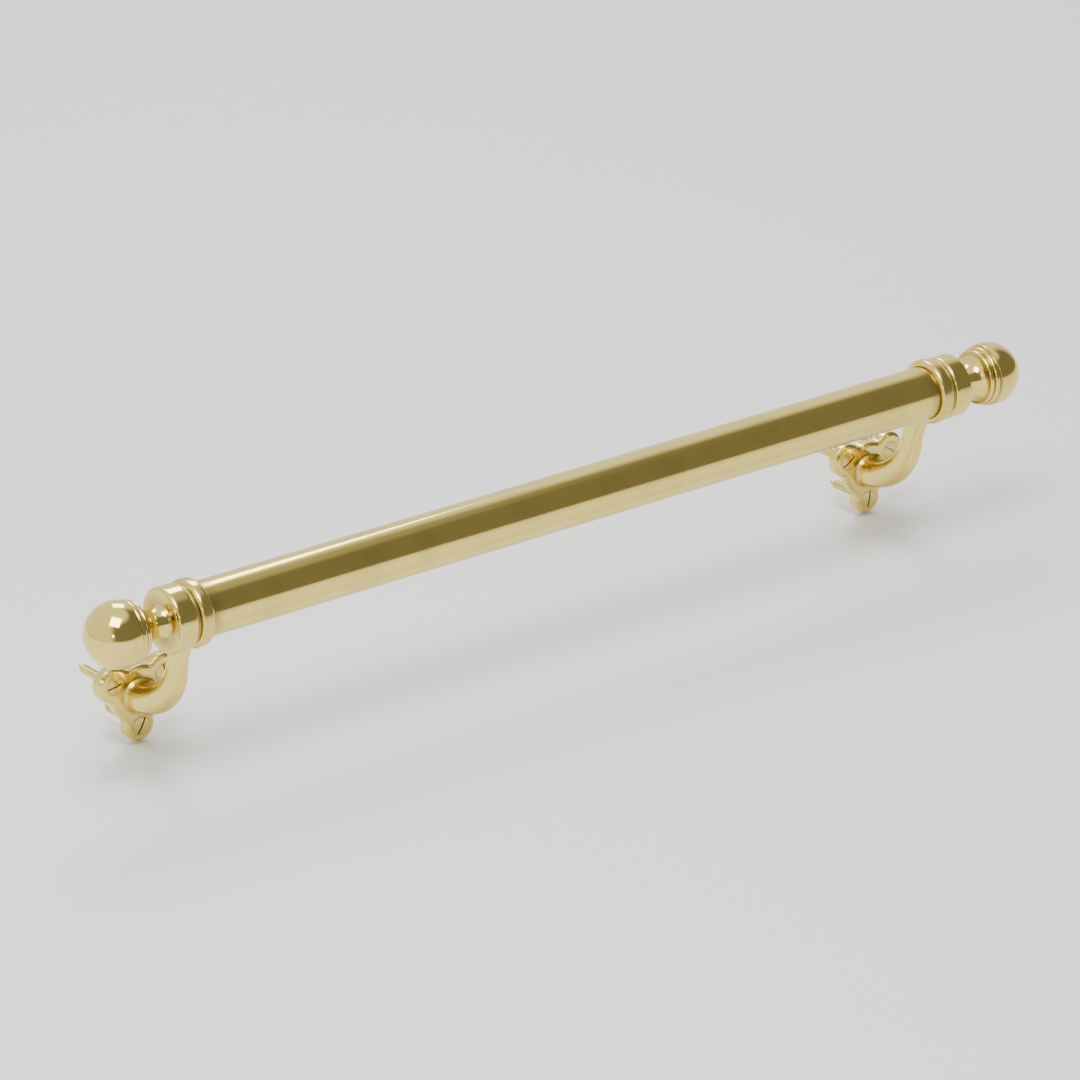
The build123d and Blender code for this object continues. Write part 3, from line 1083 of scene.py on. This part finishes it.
class SASHLIFT_OT_plates(Operator):
    """Make the two trefoil plates, with their countersunk holes"""

    bl_idname = "sashlift.plates"
    bl_label = "Plates"

    def execute(self, context):
        sizes = context.scene.sash_lift_sizes
        radii = {"outer": SIDE_LOBE, "inner": SIDE_LOBE, "lower": LOWER_LOBE}
        for side, sign in SIDES:
            sheets = [
                on_plate(sheet, angle, sign)
                for lobe, angle in LOBES
                for sheet in lobe_sheets(radii[lobe], sizes)
            ]
            plate = new_object(f"{side}_trefoil_plate", closed_mesh(f"{side}_trefoil_plate", sheets))

            # Painted shade, with tarnish, on the front face: round the foot of the arm and round each screw head.
            def recess(x, y, z):
                foot = np.hypot((x - sign * PLATE_X) / (FOOT_WIDTH / 2), z / (sizes.foot_height / 2))
                shade = smoothstep(foot, 1.28, 1.0) * (y < -0.9 * PLATE_THICKNESS)
                in_front = y < -0.5 * PLATE_THICKNESS
                for _, angle in LOBES:
                    across, up = lobe_centre(angle, sign)
                    away = np.hypot(x - across, z - up)
                    shade = shade + smoothstep(away, SCREW_HEAD + 0.5 * MM, SCREW_HEAD) * in_front
                return 0.8 * shade

            finish_piece(plate, "brackets", cast_brass(), f"{side}_backplate", recess)
        return {"FINISHED"}


SLOT_ANGLES = (12, 97, 61, 148, 33, 80)  # degrees, one for each wood screw


class SASHLIFT_OT_plate_screws(Operator):
    """Make the six slotted wood screws, each slot turned to where its screw stopped"""

    bl_idname = "sashlift.plate_screws"
    bl_label = "Plate Screws"

    def execute(self, context):
        sizes = context.scene.sash_lift_sizes
        stops = iter(SLOT_ANGLES)
        for side, sign in SIDES:
            for lobe, angle in LOBES:
                across, up = lobe_centre(angle, sign)
                name = f"{side}_{lobe}_wood_screw"
                screw = new_object(name, closed_mesh(name, [screw_sheet(sizes, across, up)]))
                combined(screw, slot_cutter(sizes, across, up, next(stops)), "DIFFERENCE")

                # Painted shade, with tarnish, in the slot and down the head's countersunk side.
                def recess(x, y, z):
                    in_slot = y > SCREW_CROWN + 0.45 * MM
                    return 0.8 * in_slot * (y < SCREW_CROWN + 1.6 * MM)

                replaced = f"{side}_{lobe}_plate_screw"
                finish_piece(screw, "brackets", screw_brass(), replaced, recess)
        return {"FINISHED"}


def slot_cutter(sizes, across, up, angle):
    """A block as wide as a screw's slot, turned about the screw's line by an angle in degrees."""
    half = np.array([1.2 * SCREW_HEAD, 0, sizes.slot_width / 2])
    low = -half + (0, SCREW_CROWN - 1 * MM, 0)
    high = half + (0, SCREW_CROWN + sizes.slot_depth, 0)
    mesh = box_mesh(low, high)
    points = np.empty(len(mesh.vertices) * 3, np.float32)
    mesh.vertices.foreach_get("co", points)
    x, y, z = points.reshape(-1, 3).T
    turn = math.radians(angle)
    turned_x = across + x * math.cos(turn) - z * math.sin(turn)
    turned_z = up + x * math.sin(turn) + z * math.cos(turn)
    mesh.vertices.foreach_set("co", np.stack([turned_x, y, turned_z], axis=1).astype(np.float32).ravel())
    return mesh


class SASHLIFT_OT_arms(Operator):
    """Make the two bracket arms, each joined to the eye that holds the bar"""

    bl_idname = "sashlift.arms"
    bl_label = "Bracket Arms"

    def execute(self, context):
        sizes = context.scene.sash_lift_sizes
        half = sizes.eye_width / 2
        ring = ring_profile(
            PLATE_X - half, PLATE_X + half, sizes.eye_bore, EYE_RADIUS, sizes.eye_edge, 0.25 * MM
        )
        for side, sign in SIDES:
            arm = new_object(f"{side}_cast_arm", closed_mesh(f"{side}_cast_arm", arm_sheets(sizes, sign)))
            eye = closed_mesh("eye", [turned(ring, sign, sizes.turned_steps)])
            combined(arm, eye, "UNION")

            # Painted shade, with tarnish: where the arm stands on the plate, where it meets the eye on its back
            # side, and in the eye's bore.
            def recess(x, y, z):
                at_plate = smoothstep(-y, PLATE_THICKNESS + 1.1 * MM, PLATE_THICKNESS)
                reach = np.hypot(y - AXIS_Y, z - AXIS_Z)
                behind = smoothstep(y, AXIS_Y - 2 * MM, AXIS_Y + 8 * MM)
                at_eye = hump(reach, EYE_RADIUS + 0.2 * MM, 0.9 * MM) * behind
                in_bore = smoothstep(reach, sizes.eye_bore + 0.5 * MM, sizes.eye_bore)
                return 0.8 * at_plate + 0.5 * at_eye + 0.9 * in_bore

            finish_piece(arm, "brackets", cast_brass(), f"{side}_bracket_arm", recess)
        return {"FINISHED"}


class SASHLIFT_OT_inner_fittings(Operator):
    """Give the frame's own plugs, studs and machine screws their metals"""

    bl_idname = "sashlift.inner_fittings"
    bl_label = "Inner Fittings"

    def execute(self, context):
        metals = {
            "end_plug": screw_brass(),
            "finial_stud": zinc_steel(),
            "arm_screw": zinc_steel(),
            "finial_grub_screw": black_steel(),
        }
        for side, _ in SIDES:
            for name, material in metals.items():
                fitting = frame["nodes"][f"{side}_{name}"]
                if not fitting.material_slots:
                    fitting.data.materials.append(material)
                for place in fitting.material_slots:
                    place.material = material
        return {"FINISHED"}


FLOOR_GAP = 1.0 * MM
CAMERA_PLACE = (-1.262, -1.631, 0.886)
ROOM_DIRECTION = (0.45, -0.85, 0.27)


class SASHLIFT_OT_stage(Operator):
    """Make the floor, the light and the camera"""

    bl_idname = "sashlift.stage"
    bl_label = "Stage"

    def execute(self, context):
        stage = context.scene.sash_lift_stage
        low, high = (Vector(corner) for corner in CAD_BOX)
        middle = (low + high) / 2
        make_floor(stage, low.z - FLOOR_GAP)
        make_world(stage)
        make_light("key", Vector((-0.7, -0.5, 1.5)), middle, size=0.9, power=26.0)
        make_light("back", Vector((0.5, 0.9, 1.2)), middle, size=0.6, power=9.0)
        make_light("glint", Vector((-1.6, -1.25, 0.62)), middle, size=0.16, power=1.6)
        data = bpy.data.cameras.new("camera")
        data.lens, data.clip_start, data.clip_end = stage.lens, 0.05, 60.0
        camera = bpy.data.objects.new("camera", data)
        camera.location = CAMERA_PLACE
        camera.rotation_euler = (middle - camera.location).to_track_quat("-Z", "Y").to_euler()
        context.scene.collection.objects.link(camera)
        context.scene.camera = camera
        return {"FINISHED"}


def make_floor(stage, height):
    """A round, level floor: rings of points at radii that grow with the square of the ring's number."""
    reach = 12.0
    radius = reach * np.linspace(0, 1, 40)[:, None] ** 2
    angles = np.linspace(0, 2 * math.pi, 97)
    x, y = radius * np.cos(angles), radius * np.sin(angles)
    points = np.stack([x, y, np.full_like(x, height)], axis=-1)
    mesh = bpy.data.meshes.new("floor")
    mesh.from_pydata(points.reshape(-1, 3).tolist(), [], grid_faces(*x.shape, 0).tolist())
    floor = new_object("floor", mesh)
    material = bpy.data.materials.new("Pale Floor")
    material.use_nodes = True
    tree = material.node_tree
    shader = tree.nodes["Principled BSDF"]
    shader.inputs["Roughness"].default_value = 0.6
    place = node(tree, "ShaderNodeTexCoord").outputs["Object"]
    cloud = node(tree, "ShaderNodeTexNoise", Vector=place, Scale=3.0, Detail=3.0)
    paler = tuple(min(1.0, 1.02 * channel) for channel in stage.floor)
    tone = node(
        tree,
        "ShaderNodeMix",
        {"data_type": "RGBA"},
        Factor=cloud.outputs["Fac"],
        _6=(*stage.floor, 1),
        _7=(*paler, 1),
    )
    tree.links.new(tone.outputs[2], shader.inputs["Base Color"])
    mesh.materials.append(material)


def make_world(stage):
    """Light from all round, with a darker room towards +X and -Y, between the floor and the ceiling.

    The darkness is a smooth step in the height of a direction times one in its nearness to the
    room's middle.
    """
    world = bpy.data.worlds.new("studio")
    bpy.context.scene.world = world
    world.use_nodes = True
    tree = world.node_tree
    background = tree.nodes["Background"]
    background.inputs["Strength"].default_value = stage.sky
    way = node(tree, "ShaderNodeTexCoord").outputs["Generated"]
    height = node(tree, "ShaderNodeSeparateXYZ", Vector=way).outputs["Z"]
    near = node(tree, "ShaderNodeVectorMath", {"operation": "DOT_PRODUCT"}, _0=way, _1=ROOM_DIRECTION)
    step = {"interpolation_type": "SMOOTHSTEP"}
    facing = node(
        tree, "ShaderNodeMapRange", step, Value=near.outputs["Value"], From_Min=0.05, From_Max=0.45
    )
    below = node(tree, "ShaderNodeMapRange", step, Value=height, From_Min=0.93, From_Max=0.80)
    dark = node(tree, "ShaderNodeMath", {"operation": "MULTIPLY"}, _0=facing.outputs[0], _1=below.outputs[0])
    amount = node(tree, "ShaderNodeMath", {"operation": "MULTIPLY"}, _0=dark.outputs[0], _1=stage.room)
    tone = node(
        tree,
        "ShaderNodeMix",
        {"data_type": "RGBA"},
        Factor=amount.outputs[0],
        _6=(1.0, 0.995, 0.98, 1),
        _7=(0.05, 0.044, 0.037, 1),
    )
    tree.links.new(tone.outputs[2], background.inputs["Color"])


def make_light(name, offset, middle, size, power):
    """A square soft light at an offset from the middle of the handle, aimed at it."""
    data = bpy.data.lights.new(name, "AREA")
    data.size, data.energy = size, power
    light = bpy.data.objects.new(name, data)
    light.location = middle + offset
    light.rotation_euler = (-offset).to_track_quat("-Z", "Y").to_euler()
    bpy.context.scene.collection.objects.link(light)


PIECE_OPERATORS = (
    SASHLIFT_OT_bar,
    SASHLIFT_OT_finials,
    SASHLIFT_OT_washers,
    SASHLIFT_OT_plates,
    SASHLIFT_OT_plate_screws,
    SASHLIFT_OT_arms,
    SASHLIFT_OT_inner_fittings,
    SASHLIFT_OT_stage,
)


class SASHLIFT_PT_panel(Panel):
    """Lists the sizes, the finish, the stage and a button for each group of pieces"""

    bl_idname = "SASHLIFT_PT_panel"
    bl_label = "Sash Lift Handle"
    bl_space_type = "VIEW_3D"
    bl_region_type = "UI"
    bl_category = "Sash Lift"

    def draw(self, context):
        scene = context.scene
        for group in (scene.sash_lift_sizes, scene.sash_lift_finish, scene.sash_lift_stage):
            box = self.layout.box()
            for name in group.__annotations__:
                box.prop(group, name)
        for operator in PIECE_OPERATORS:
            self.layout.operator(operator.bl_idname)


PROPERTY_GROUPS = {
    "sash_lift_sizes": SashLiftSizes,
    "sash_lift_finish": SashLiftFinish,
    "sash_lift_stage": SashLiftStage,
}


def register():
    """Registers the property groups, the operators and the panel."""
    for name, group in PROPERTY_GROUPS.items():
        bpy.utils.register_class(group)
        setattr(bpy.types.Scene, name, PointerProperty(type=group))
    for cls in (*PIECE_OPERATORS, SASHLIFT_PT_panel):
        bpy.utils.register_class(cls)


def unregister():
    """Takes back what register did, in the opposite order."""
    for cls in reversed((*PIECE_OPERATORS, SASHLIFT_PT_panel)):
        bpy.utils.unregister_class(cls)
    for name, group in reversed(PROPERTY_GROUPS.items()):
        delattr(bpy.types.Scene, name)
        bpy.utils.unregister_class(group)


def main():
    """Builds every piece and the stage."""
    register()
    for operator in PIECE_OPERATORS:
        family, name = operator.bl_idname.split(".")
        getattr(getattr(bpy.ops, family), name)()


if __name__ == "__main__":
    main()
